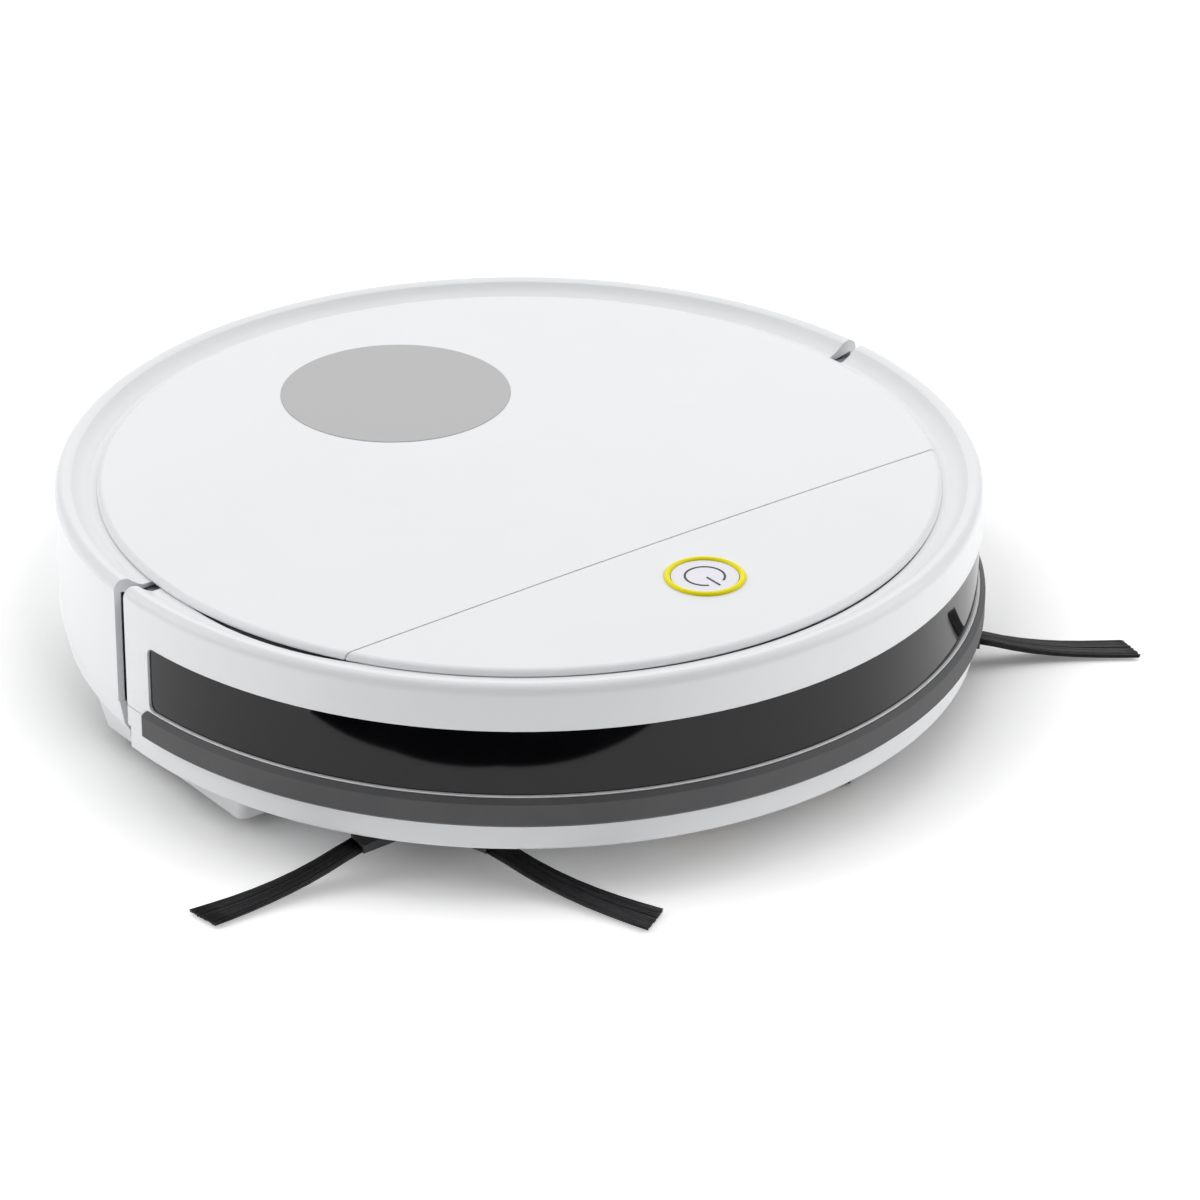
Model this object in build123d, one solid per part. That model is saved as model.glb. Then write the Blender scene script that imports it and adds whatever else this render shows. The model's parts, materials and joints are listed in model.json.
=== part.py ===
from build123d import *
import math
import os

os.makedirs("parts", exist_ok=True)

# Robotic floor cleaner. +X is forward, +Y is the robot's left, +Z is up.
# The origin is on the floor, under the middle of the round body. Sizes are millimetres.

# ---- driving sizes ----
BODY_R = 163.0  # round body, over the side wall
HEIGHT = 80.0  # floor to the crest of the top ring
BASE_Z = 19.0  # underside of the chassis floor
FLOOR_T = 2.5  # chassis floor thickness
WALL_T = 2.6  # outer wall thickness
SEAM_Z = 34.0  # joint between the chassis and the upper shell
BUMPER_END_X = -4.0  # where the bumper's wall ends
SHELL_END_X = -10.0  # where the rear shell's wall begins
BUMPER_BOTTOM = 18.4
STRIP_Z = (28.3, 38.8)  # rubber strip
STRIP_PROUD = 2.0  # how far the strip stands out of the wall
STRIP_END_X = 7.5
END_LINE_Z = 36.0  # fine parting line at each end of the bumper
WINDOW_Z = (39.6, 63.5)  # dark sensor window
WINDOW_END_X = 9.5
PANE_T = 1.0
POCKET = 1.8  # depth of the pockets that hold the window and the strip
RING_W = 14.8  # width of the top ring, from the side wall to the lid's edge
LID_T = 2.0
LID_RISE = 1.4  # height of the shallow dome
LID_TOP = HEIGHT - 0.4  # middle of the dome
LID_SEAM_X = 75.0  # straight joint between the lid and the front panel
SEAM_GAP = 0.5
DISC_X = -75.0
DISC_R = 41.5
BUTTON_X = 104.0
BUTTON_R = 11.6
RING_T = 2.4  # width of the ring round the button
BRUSH_X = 88.5  # side brush axis
BRUSH_Y = 105.5
BRUSH_REACH = 89.0
RIGHT_PHASE = 23.0  # angle of one arm, degrees from straight ahead
LEFT_PHASE = 62.0
WHEEL_R = 32.0
WHEEL_W = 18.0
WHEEL_X = -9.5
WHEEL_Y = 131.0
PIVOT = (30.0, 46.0)  # suspension pivot, x and z
CASTER_X = 110.0
CASTER_R = 12.5
CASTER_TRAIL = 7.0
ROLLER_X = -52.0
ROLLER_Z = 19.5
ROLLER_R = 18.2
ROLLER_HALF = 80.0
FAIRING_X = (-50.0, 41.0)
FAIRING_Y = 148.0
FAIRING_BOTTOM = 6.0
RUN_FIT = 0.05  # radial clearance of a shaft in its hole
SLIP = 0.3  # gap round a piece that sits in a recess

# ---- sizes that follow ----
FLOOR_TOP = BASE_Z + FLOOR_T
INNER_R = BODY_R - WALL_T
CREST_R = BODY_R - 3.0
STRIP_R = BODY_R + STRIP_PROUD
SKIN_R = BODY_R - POCKET
LID_R = BODY_R - RING_W
FOOT_R = LID_R + 3.2  # foot of the ring's inner slope
DECK_Z = (HEIGHT - 9.0, HEIGHT - 6.5)
DECK_R = LID_R + 1.8
FRAME_R = (DECK_R + 0.5, DECK_R + 3.0)  # front frame wall
LIP_R = LID_R - 1.2  # the lip reaches under the lid's edge
LIP_GAPS = (  # where the lip stands back from the lid: direction, half its spread, widest gap
    (-71.0, 12.5, 1.7),
    (3.0, 28.0, 0.6),
)
LIP_TOP = HEIGHT - 4.4
RING_BOTTOM = HEIGHT - 2.4
RING_R = BUTTON_R + RING_T
RIM_BOTTOM = LIP_TOP + SLIP
BIN_X = (-124.0, -14.0)
BIN_HALF = 70.0
BIN_Z = (46.0, 70.0)
WELL_T = 1.5
HINGE_X = 8.2 - LID_R
HINGE_Z = HEIGHT - 4.0
HINGE_HALF = 56.0  # half the width that the lid's rear edge needs as it swings down
HINGE_PIN_R = 1.0
LUG_R = 2.0
SHAFT_R = 2.0
MOTOR_R = 12.0
BATTERY_X = (-4.0, 76.0)
BATTERY_HALF = 42.0
BATTERY_TOP = 44.0
LEFT = 1
RIGHT = -1
LOW = (Align.CENTER, Align.CENTER, Align.MIN)
BIG = 500.0


def block(x, y, z):
    """A box between two limits on each axis."""
    size = [abs(b - a) for a, b in (x, y, z)]
    middle = [(a + b) / 2 for a, b in (x, y, z)]
    return Pos(*middle) * Box(*size)


def post(x, y, z, radius):
    """An upright cylinder between two heights."""
    return Pos(x, y, z[0]) * Cylinder(radius, z[1] - z[0], align=LOW)


def tube(outer, inner, z, x=0.0, y=0.0):
    """An upright ring wall."""
    return post(x, y, z, outer) - post(x, y, z, inner)


def rod(x, z, y, radius):
    """A cylinder that lies along Y."""
    middle = (y[0] + y[1]) / 2
    return Pos(x, middle, z) * Rot(90, 0, 0) * Cylinder(radius, abs(y[1] - y[0]))


def turned(outline):
    """A closed outline of radius and height, turned about the body's axis."""
    return revolve(Plane.XZ * make_face(outline), axis=Axis.Z)


def ahead(shape, x):
    """The piece of a shape that is ahead of x."""
    return shape & block((x, BIG), (-BIG, BIG), (-BIG, BIG))


def behind(shape, x):
    """The piece of a shape that is behind x."""
    return shape & block((-BIG, x), (-BIG, BIG), (-BIG, BIG))


def sided(shape, side):
    """A piece made for the left side, or its mirror image for the right."""
    return shape if side == LEFT else mirror(shape, about=Plane.XZ)


def side_outline(points, width):
    """A plate whose outline is given in x and z, centred on y = 0."""
    face = Plane.XZ * make_face(Polyline(*points, close=True))
    return extrude(face, amount=width / 2, both=True)


# ---- outer body ----
def ring_outline(lip_r, wall):
    """Top ring with its crest, hollow inner slope and lip, closed by the wall's own points."""
    z = HEIGHT
    start = (BODY_R, z - 3.8)
    foot = (FOOT_R, LIP_TOP)
    outer = ThreePointArc(start, (BODY_R - 0.9, z - 1.2), (CREST_R, z))
    crest = ThreePointArc((CREST_R, z), (CREST_R - 1.6, z - 0.2), (CREST_R - 3.0, z - 0.7))
    slope = ThreePointArc((CREST_R - 3.0, z - 0.7), (FOOT_R + 2.2, z - 3.3), foot)
    under = [foot, (lip_r, LIP_TOP), (lip_r, LIP_TOP - 1.6), (FOOT_R + 2.6, LIP_TOP - 1.6)]
    return outer + crest + slope + Polyline(*under, (INNER_R, z - 4.6), *wall, start)


REAR_WALL = [
    (INNER_R, SEAM_Z),
    (BODY_R - 0.6, SEAM_Z),
    (BODY_R, SEAM_Z + 0.6),
]

BUMPER_WALL = [
    (INNER_R - 1.0, BUMPER_BOTTOM),
    (BODY_R - 2.0, BUMPER_BOTTOM),
    (BODY_R - 1.0, BUMPER_BOTTOM + 1.0),
    (BODY_R - 1.0, STRIP_Z[0]),
    (BODY_R, STRIP_Z[0]),
]


def bumper_band(z, outer, inner, end_x, corner):
    """A band of the bumper that ends at end_x with rounded corners."""
    middle = (z[0] + z[1]) / 2
    height = z[1] - z[0]
    sketch = Plane.XZ * Pos(end_x + BIG / 2, middle) * RectangleRounded(BIG, height, corner)
    return tube(outer, inner, z) & extrude(sketch, amount=BIG, both=True)


def sensor_window():
    return bumper_band(WINDOW_Z, SKIN_R + PANE_T, SKIN_R, WINDOW_END_X, 2.8)


def bumper_strip():
    low, high = STRIP_Z
    face = [(STRIP_R - 1.2, low), (STRIP_R, low + 1.2), (STRIP_R, high - 1.6), (STRIP_R - 1.6, high)]
    ring = turned(Polyline((SKIN_R, low), *face, (SKIN_R, high), close=True))
    return ring & bumper_band(STRIP_Z, STRIP_R + 1, SKIN_R - 1, STRIP_END_X, 1.2)


def lip_gap(turn, spread, gap):
    """A disc that cuts a long crescent out of the lip beside the lid's edge."""
    reach = LID_R + gap
    chord = LID_R * math.cos(math.radians(spread))
    centre = (reach**2 - LID_R**2) / (2 * (reach - chord))
    cut = post(centre, 0, (LIP_TOP - 2, LIP_TOP + 0.4), reach - centre)
    return Rot(0, 0, turn) * cut


def bumper_shell():
    shell = ahead(turned(ring_outline(LIP_R, BUMPER_WALL)), BUMPER_END_X)
    for turn, spread, gap in LIP_GAPS:
        shell -= lip_gap(turn, spread, gap)
    low_window = WINDOW_Z[0] - SLIP / 2
    window = (low_window, WINDOW_Z[1] + SLIP / 2)
    pocket = bumper_band(window, BODY_R + 1, SKIN_R, WINDOW_END_X - SLIP / 2, 2.8)
    groove = bumper_band(STRIP_Z, BODY_R + 1, SKIN_R, STRIP_END_X, 1.2)
    end_z = (END_LINE_Z - 0.15, END_LINE_Z + 0.15)
    end_line = ahead(tube(BODY_R + 1, BODY_R - 0.4, end_z), BUMPER_END_X - 1)
    return shell - pocket - groove - behind(end_line, STRIP_END_X)


def bumper_spring(side):
    """A bowed leaf between the front frame and the bumper's wall."""
    reach = INNER_R - FRAME_R[1] - 2.2
    middle_y = 62.0
    half = 16.0
    foot_x = math.sqrt(FRAME_R[1] ** 2 - (middle_y + half) ** 2)
    near_x = math.sqrt(FRAME_R[1] ** 2 - (middle_y - half) ** 2)
    top_x = math.sqrt((FRAME_R[1] + reach) ** 2 - middle_y**2)
    start = (near_x, middle_y - half)
    crown = (top_x - 0.3, middle_y)
    finish = (foot_x, middle_y + half)
    bow = Polyline(start, crown, finish)
    leaf = extrude(make_face(trace(bow, 0.5)), amount=7.0)
    outside = post(0, 0, (-1, 9), INNER_R - 1.2) - post(0, 0, (-1, 9), FRAME_R[1])
    return sided(Pos(0, 0, 44) * (leaf & outside), side)


def chassis():
    rear = turned(
        Polyline(
            (0, BASE_Z),
            (BODY_R - 9, BASE_Z),
            (BODY_R - 5, BASE_Z + 1.5),
            (BODY_R - 2.2, BASE_Z + 6),
            (BODY_R - 0.5, SEAM_Z),
            (INNER_R - 0.4, SEAM_Z),
            (INNER_R - 2.6, BASE_Z + 7),
            (INNER_R - 4.6, FLOOR_TOP),
            (0, FLOOR_TOP),
            close=True,
        )
    )
    body = behind(rear, SHELL_END_X)
    body += ahead(post(0, 0, (BASE_Z, FLOOR_TOP), FRAME_R[1]), SHELL_END_X)
    for side in (LEFT, RIGHT):
        body += wheel_well(side)
    body += roller_tunnel()
    body += caster_cup()
    for side in (LEFT, RIGHT):
        body -= wheel_cut(side)
        body += motor_bracket(side)
        body += post(BRUSH_X, side * BRUSH_Y, (FLOOR_TOP, FLOOR_TOP + 2.5), MOTOR_R)
        body -= post(BRUSH_X, side * BRUSH_Y, (0, 30), SHAFT_R + RUN_FIT)
        for x in (8.0, 72.0):
            body += post(x, side * 52.0, (FLOOR_TOP, 58.0), 3.0)
        for x, y in ((-136.0, 50.0), (60.0, 112.0), (125.0, 40.0)):
            body += post(x, side * y, (FLOOR_TOP, DECK_Z[0]), 4.0)
        body -= cliff_pane(side)
        body -= charging_contact(side)
        body -= screw_holes(side)
    body -= roller_cut()
    body -= battery_cut()
    body -= caster_cut()
    return body


def wheel_well(side):
    """The three upright walls round the outside of the drive wheel."""
    outer = block((FAIRING_X[0] + 1, FAIRING_X[1] - 1), (121, FAIRING_Y - 1), (BASE_Z, DECK_Z[0]))
    inner = block((FAIRING_X[0] + 2.5, FAIRING_X[1] - 2.5), (0, FAIRING_Y - 2.5), (0, BIG))
    inside_frame = post(0, 0, (0, BIG), FRAME_R[0] - SLIP)
    return sided((outer - inner) & inside_frame, side)


def wheel_cut(side):
    x = (FAIRING_X[0] + 2.5, FAIRING_X[1] - 2.5)
    return sided(block(x, (103, FAIRING_Y - 2.5), (0, FLOOR_TOP + 1)), side)


def motor_bracket(side):
    """The plate that carries the suspension: the drive motor turns in its bore."""
    x, z = PIVOT
    plate = block((x - 16, x + 16), (97, 101), (FLOOR_TOP, z))
    plate += rod(x, z, (97, 101), 16)
    plate -= rod(x, z, (96, 102), MOTOR_R + RUN_FIT)
    return sided(plate, side)


TUNNEL_X = (ROLLER_X - 25, ROLLER_X + 25)
TUNNEL_HALF = ROLLER_HALF + 6
TUNNEL_TOP = 42.0
DUCT_X = (ROLLER_X - 8, ROLLER_X + 8)
DUCT_HALF = 30.0


def roller_tunnel():
    box = block(TUNNEL_X, (-TUNNEL_HALF, TUNNEL_HALF), (BASE_Z, TUNNEL_TOP))
    duct = block((DUCT_X[0] - 2, DUCT_X[1] + 2), (-DUCT_HALF - 2, DUCT_HALF + 2), (TUNNEL_TOP, 44.5))
    ends = Part()
    for side in (LEFT, RIGHT):
        y = (side * (TUNNEL_HALF - 3), side * TUNNEL_HALF)
        end = block((ROLLER_X - 9, ROLLER_X + 9), y, (ROLLER_Z, 30.0))
        ends += end + rod(ROLLER_X, ROLLER_Z, y, 9.0)
    return box + duct + ends


def roller_cut():
    """The hollow of the tunnel, its mouth, the duct and the roller's two bearings."""
    room_x = (TUNNEL_X[0] + 2, TUNNEL_X[1] - 2)
    room = block(room_x, (-TUNNEL_HALF + 3, TUNNEL_HALF - 3), (0, TUNNEL_TOP - 2))
    duct = block(DUCT_X, (-DUCT_HALF, DUCT_HALF), (TUNNEL_TOP - 3, 45.0))
    bearings = rod(ROLLER_X, ROLLER_Z, (-TUNNEL_HALF - 1, TUNNEL_HALF + 1), 3.0 + RUN_FIT)
    return room + duct + bearings


CUP_R = 24.0
CUP_TOP = 40.0


def caster_cup():
    cup = post(CASTER_X, 0, (BASE_Z, CUP_TOP), CUP_R + 1.8)
    return cup + post(CASTER_X, 0, (CUP_TOP, 52.0), 9.0)


def caster_cut():
    cup = post(CASTER_X, 0, (0, CUP_TOP - 2), CUP_R)
    return cup + post(CASTER_X, 0, (0, 51.0), 4.0 + RUN_FIT)


def battery_cut():
    half = BATTERY_HALF - 2
    return block((BATTERY_X[0] + 2, BATTERY_X[1] - 2), (-half, half), (0, FLOOR_TOP))


def front_frame():
    """The grey wall behind the bumper, with a block that fills each gap at its ends."""
    wall = ahead(tube(FRAME_R[1], FRAME_R[0], (FLOOR_TOP, DECK_Z[1])), SHELL_END_X)
    filler = tube(INNER_R - 1.6, FRAME_R[0], (FLOOR_TOP, DECK_Z[1]))
    filler += tube(INNER_R - 1.6, FRAME_R[1], (BASE_Z + 0.5, FLOOR_TOP + 1))
    filler = behind(ahead(filler, SHELL_END_X + 0.1), STRIP_END_X)
    return wall + filler


def rear_shell():
    shell = behind(turned(ring_outline(LIP_R, REAR_WALL)), SHELL_END_X)
    swing = post(0, 0, (LIP_TOP - 2, LIP_TOP + 1), LID_R + 0.6)
    shell -= swing & block((-BIG, HINGE_X), (-HINGE_HALF, HINGE_HALF), (0, BIG))
    shell -= block(JACK_NOTCH_X, (100, BIG), (0, JACK_NOTCH_TOP))
    for index in range(7):
        turn = 126 + 4 * index
        slot = Pos(BODY_R, 0, 52) * Box(20, 3.2, 16)
        shell -= Rot(0, 0, turn) * slot
    return shell


JACK_X = -24.0
JACK_Z = 50.0
JACK_FACE_Y = BODY_R - 2.0
JACK_BORE = 9.0
JACK_NOTCH_X = (JACK_X - 9, JACK_X + 9)
JACK_NOTCH_TOP = JACK_Z + 8


def jack_surround():
    """The piece of side wall round the charger's inlet, set in a notch of the rear shell."""
    wall = tube(BODY_R, INNER_R, (SEAM_Z, JACK_NOTCH_TOP))
    plate = wall & block(JACK_NOTCH_X, (100, BIG), (0, BIG))
    return plate - rod(JACK_X, JACK_Z, (100, BIG), 4.2 + RUN_FIT)


def dc_jack():
    case_y = (BODY_R - 15, BODY_R - 6)
    body = block((JACK_X - 6, JACK_X + 6), case_y, (JACK_Z - 6, JACK_Z + 6))
    body += rod(JACK_X, JACK_Z, (case_y[1] - 1, JACK_FACE_Y), 4.2)
    return body - rod(JACK_X, JACK_Z, (JACK_FACE_Y - JACK_BORE, 165), 2.75)


def deck():
    plate = post(0, 0, DECK_Z, DECK_R)
    x = (BIN_X[0] - SLIP - WELL_T, BIN_X[1] + SLIP + WELL_T)
    half = BIN_HALF + SLIP + WELL_T
    well = block(x, (-half, half), (BIN_Z[0] - WELL_T, DECK_Z[0]))
    inside_x = (x[0] + WELL_T, x[1] - WELL_T)
    inside = block(inside_x, (WELL_T - half, half - WELL_T), (BIN_Z[0], BIG))
    shape = plate + well - inside
    shape -= block(DUCT_X, (-DUCT_HALF, DUCT_HALF), (40, 50))
    shape -= block((FAN_X - 12, FAN_X + 12), (BIN_HALF - 2, BIG), (52, 65))
    shape -= block((-BIG, HINGE_X - 1.2), (-HINGE_HALF, HINGE_HALF), (0, BIG))
    for side in (LEFT, RIGHT):
        for px, py in ((40.0, 118.0), (-70.0, 112.0)):
            shape += post(px, side * py, (DECK_Z[1], lid_under(math.hypot(px, py) + 4) - 0.1), 4.0)
        y = (side * 29, side * 33)
        bracket = rod(HINGE_X, HINGE_Z, y, 1.7)
        bracket += block((HINGE_X - 0.8, HINGE_X + 2.4), y, (DECK_Z[1] - 1, HINGE_Z - 0.4))
        shape += bracket
    return shape - rod(HINGE_X, HINGE_Z, (-40, 40), HINGE_PIN_R)


# ---- lid, front panel and button ----
def dome_z(radius):
    """Height of the lid's top surface at a radius."""
    return LID_TOP - LID_RISE * (radius / (LID_R - 3.0)) ** 2


def lid_under(radius):
    """Height of the lid's underside at a radius."""
    middle = LID_TOP - LID_T
    return middle - (middle - RIM_BOTTOM) * radius / (LID_R - 2.4)


def dome(offset):
    """Everything under the lid's domed surface, raised by offset."""
    edge = LID_R + 5.0
    top = ThreePointArc(
        (0, LID_TOP + offset), (edge / 2, dome_z(edge / 2) + offset), (edge, dome_z(edge) + offset)
    )
    low = HEIGHT - 20
    rest = Polyline((edge, dome_z(edge) + offset), (edge, low), (0, low), (0, LID_TOP + offset))
    return turned(top + rest)


def top_disc():
    """The whole round top before it is divided: a dome with a rolled edge."""
    rim = LID_R - 3.0
    top = ThreePointArc((0, LID_TOP), (rim / 2, dome_z(rim / 2)), (rim, dome_z(rim)))
    roll = ThreePointArc(
        (rim, dome_z(rim)), (LID_R - 0.85, dome_z(rim) - 0.6), (LID_R, dome_z(rim) - 1.9)
    )
    edge = Polyline(
        (LID_R, dome_z(rim) - 1.9),
        (LID_R, RIM_BOTTOM),
        (LID_R - 2.4, RIM_BOTTOM),
        (0, LID_TOP - LID_T),
        (0, LID_TOP),
    )
    return turned(top + roll + edge)


def lid_disc():
    layer = dome(0.15) - dome(-0.6)
    return layer & post(DISC_X, 0, (0, BIG), DISC_R)


def lid():
    shape = behind(top_disc(), LID_SEAM_X - SEAM_GAP / 2) - lid_disc()
    for side in (LEFT, RIGHT):
        pocket_y = (side * 28.6, side * 33.4)
        shape -= block((HINGE_X - 4, HINGE_X + 4), pocket_y, (HINGE_Z - 6, HINGE_Z + 1.85))
        y = (side * 22, side * 28.3)
        lug = rod(HINGE_X, HINGE_Z, y, LUG_R)
        shape += lug
        shape -= rod(HINGE_X, HINGE_Z, (side * 20, side * 34), HINGE_PIN_R + RUN_FIT)
    shape -= block((HINGE_X - 2.2, HINGE_X + 2.2), (-21.9, 21.9), (HINGE_Z - 6, HINGE_Z + 1.2))
    return shape


def lid_hinge_pin():
    return rod(HINGE_X, HINGE_Z, (-33, 33), HINGE_PIN_R)


def front_panel():
    shape = ahead(top_disc(), LID_SEAM_X + SEAM_GAP / 2)
    for x, y in ((84.0, 95.0), (84.0, 40.0), (132.0, 30.0)):
        for side in (LEFT, RIGHT):
            shape += post(x, side * y, (DECK_Z[1], lid_under(x) + 0.6), 3.0)
    shape -= post(BUTTON_X, 0, (0, BIG), BUTTON_R + 0.15)
    return shape - post(BUTTON_X, 0, (RING_BOTTOM, BIG), RING_R)


def button_ring():
    ring = tube(RING_R, BUTTON_R + 0.15, (RING_BOTTOM, HEIGHT - 0.5), BUTTON_X)
    rims = [e for e in ring.edges().filter_by(GeomType.CIRCLE) if e.center().Z > RING_BOTTOM + 1]
    return fillet(rims, 0.7)


def power_button():
    cap = post(BUTTON_X, 0, (HEIGHT - 2.7, HEIGHT - 0.9), BUTTON_R)
    return cap + post(BUTTON_X, 0, (HEIGHT - 3.8, HEIGHT - 2.6), 2.5)


def tact_switch():
    body = block((BUTTON_X - 3, BUTTON_X + 3), (-3, 3), (DECK_Z[1], DECK_Z[1] + 1.6))
    return body + post(BUTTON_X, 0, (DECK_Z[1] + 1.5, DECK_Z[1] + 2.1), 1.6)


# ---- drive units ----
def wheel_fairing(side):
    """The white skirt round the drive wheel, below the chassis."""
    x0, x1 = FAIRING_X
    outline = [(x0, BASE_Z), (x0 + 9, FAIRING_BOTTOM), (x1, FAIRING_BOTTOM), (x1, BASE_Z)]
    skirt = Pos(0, 132, 0) * side_outline(outline, 2 * (FAIRING_Y - 132))
    room = block((x0 + 2.5, x1 - 2.5), (100, FAIRING_Y - 2.5), (0, BASE_Z + 1))
    keep = block((-BIG, BIG), (118, BIG), (0, BIG))
    skirt = (skirt & keep) - room
    corner = skirt.edges().filter_by(Axis.Z).sort_by_distance((x1, FAIRING_Y, FAIRING_BOTTOM + 5))[0]
    return sided(fillet(corner, 3.0), side)


def tyre(side):
    y = (WHEEL_Y - WHEEL_W / 2, WHEEL_Y + WHEEL_W / 2)
    shape = rod(WHEEL_X, WHEEL_R, y, WHEEL_R) - rod(WHEEL_X, WHEEL_R, y, WHEEL_R - 6)
    for index in range(24):
        turn = 360 / 24 * index
        groove = Pos(0, 0, WHEEL_R) * Box(2.4, WHEEL_W + 2, 2.4)
        shape -= Pos(WHEEL_X, WHEEL_Y, WHEEL_R) * Rot(0, turn, 0) * groove
    return sided(shape, side)


def rim(side):
    y = (WHEEL_Y - WHEEL_W / 2, WHEEL_Y + WHEEL_W / 2)
    hub = rod(WHEEL_X, WHEEL_R, y, WHEEL_R - 6)
    hub -= rod(WHEEL_X, WHEEL_R, (y[1] - 4, y[1] + 1), WHEEL_R - 9)
    hub += rod(WHEEL_X, WHEEL_R, (y[1] - 5, y[1]), 8)
    return sided(hub + rod(WHEEL_X, WHEEL_R, (108, y[0] + 1), 3.0), side)


def suspension_arm(side):
    """Gearbox case that swings about the motor's axis and carries the wheel's shaft."""
    x, z = PIVOT
    y = (104, 119)
    run = math.hypot(x - WHEEL_X, z - WHEEL_R)
    slope = math.degrees(math.atan2(z - WHEEL_R, x - WHEEL_X))
    middle = ((x + WHEEL_X) / 2, (y[0] + y[1]) / 2, (z + WHEEL_R) / 2)
    shape = rod(x, z, y, 14) + rod(WHEEL_X, WHEEL_R, y, 11)
    shape += Pos(*middle) * Rot(0, -slope, 0) * Box(run, y[1] - y[0], 20)
    shape -= rod(WHEEL_X, WHEEL_R, (107, 120), 3.0 + RUN_FIT)
    return sided(shape, side)


def drive_motor(side):
    x, z = PIVOT
    can = rod(x, z, (62, 104), MOTOR_R)
    return sided(can + rod(x, z, (58, 63), 4), side)


def side_brush_motor(side):
    can = post(BRUSH_X, BRUSH_Y, (FLOOR_TOP + 2.5, 54), MOTOR_R)
    return sided(can + post(BRUSH_X, BRUSH_Y, (53, 57), 4), side)


# ---- side brushes ----
ARM_END = 26.0


def brush_angles(side):
    first = RIGHT_PHASE if side == RIGHT else LEFT_PHASE
    return [first + 120 * step for step in range(3)]


def side_brush(side):
    place = Pos(BRUSH_X, side * BRUSH_Y, 0)
    shape = post(0, 0, (12.0, 16.6), 11) + post(0, 0, (16, FLOOR_TOP + 2.5), SHAFT_R)
    profile = [(2, 12), (2, 16), (12, 16), (ARM_END, 13.6), (ARM_END, 10.6), (12, 12)]
    for angle in brush_angles(side):
        shape += Rot(0, 0, angle) * side_outline(profile, 9.0)
    return place * shape


def side_brush_tufts(side):
    place = Pos(BRUSH_X, side * BRUSH_Y, 0)
    tip = BRUSH_REACH
    low = [(ARM_END, 10.8), (42, 4.4), (58, 1.4), (tip, 1.0)]
    high = [(tip, 2.2), (60, 3.4), (45, 6.0), (ARM_END, 13.4)]
    plan = Polyline((ARM_END, 4.0), (tip, 6.2), (tip, -6.2), (ARM_END, -4.0), close=True)
    tuft = side_outline(low + high, 20) & extrude(make_face(plan), amount=20)
    return [place * Rot(0, 0, angle) * tuft for angle in brush_angles(side)]


# ---- caster ----
def caster_fork():
    shape = post(CASTER_X, 0, (33, 36), 20) + post(CASTER_X, 0, (35, 50), 4.0)
    axle_x = CASTER_X - CASTER_TRAIL
    for side in (LEFT, RIGHT):
        y = (side * 7.6, side * 10.4)
        shape += block((axle_x - 5, axle_x + 12), y, (CASTER_R, 34))
        shape += rod(axle_x, CASTER_R, y, 5)
    return shape - rod(axle_x, CASTER_R, (-20, 20), SHAFT_R + RUN_FIT)


def caster_wheel():
    axle_x = CASTER_X - CASTER_TRAIL
    wheel = rod(axle_x, CASTER_R, (-7, 7), CASTER_R)
    rims = [e for e in wheel.edges().filter_by(GeomType.CIRCLE)]
    return fillet(rims, 2.0) + rod(axle_x, CASTER_R, (-10.4, 10.4), SHAFT_R)


# ---- main roller ----
def roller_core():
    core = rod(ROLLER_X, ROLLER_Z, (-ROLLER_HALF, ROLLER_HALF), 9)
    return core + rod(ROLLER_X, ROLLER_Z, (-TUNNEL_HALF, TUNNEL_HALF), 3)


def roller_blades():
    shape = []
    for index in range(5):
        blade = Pos(0, 0, (ROLLER_R + 9) / 2) * Box(3, 2 * ROLLER_HALF - 4, ROLLER_R - 9)
        shape.append(Pos(ROLLER_X, 0, ROLLER_Z) * Rot(0, 72 * index + 36, 0) * blade)
    return [s - rod(ROLLER_X, ROLLER_Z, (-ROLLER_HALF, ROLLER_HALF), 9) for s in shape]


def roller_motor():
    """Motor behind the tunnel and the gearbox on the tunnel's right end."""
    x, z = ROLLER_X - 46, 33.0
    end = -TUNNEL_HALF
    can = rod(x, z, (end + 8, end + 66), 10) + rod(x, z, (end - 1, end + 9), 5)
    return can + block((x - 10, ROLLER_X + 12), (end - 9, end), (FLOOR_TOP, 43))


def brush_guard():
    z = (BASE_Z - 2.4, BASE_Z)
    plate = block((TUNNEL_X[0] - 4, TUNNEL_X[1] + 4), (-TUNNEL_HALF - 8, TUNNEL_HALF + 8), z)
    mouth = block((TUNNEL_X[0] + 3, TUNNEL_X[1] - 3), (-TUNNEL_HALF - 1.5, TUNNEL_HALF + 1.5), (0, 40))
    return plate - mouth


# ---- dust bin and suction ----
def dust_bin():
    """Open tub with the inlet in its floor and the outlet towards the fan."""
    y = (-BIN_HALF, BIN_HALF)
    tub = block(BIN_X, y, (BIN_Z[0], BIN_Z[1] - 2))
    inside = block((BIN_X[0] + 2, BIN_X[1] - 2), (2 - BIN_HALF, BIN_HALF - 2), (BIN_Z[0] + 2, BIG))
    inlet = block(DUCT_X, (-DUCT_HALF, DUCT_HALF), (40, 50))
    outlet = block((FAN_X - 12, FAN_X + 12), (BIN_HALF - 8, BIN_HALF + 2), (52, 65))
    return tub - inside - inlet - outlet


def dust_bin_cover():
    plate = block(BIN_X, (-BIN_HALF, BIN_HALF), (BIN_Z[1] - 2, BIN_Z[1]))
    return plate - block((-85, -55), (-30, 30), (BIN_Z[1] - 1, BIG))


def bin_handle():
    bar = block((-85, -55), (-30, 30), (BIN_Z[1] - 1, BIN_Z[1] + 1))
    return bar - block((-81, -59), (-24, 24), (0, BIG))


def filter_block():
    return block((FAN_X - 11.5, FAN_X + 11.5), (BIN_HALF - 6, BIN_HALF), (52, 65))


FAN_X = -98.0
FAN_Y = 93.0
FAN_R = 20.0


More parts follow.
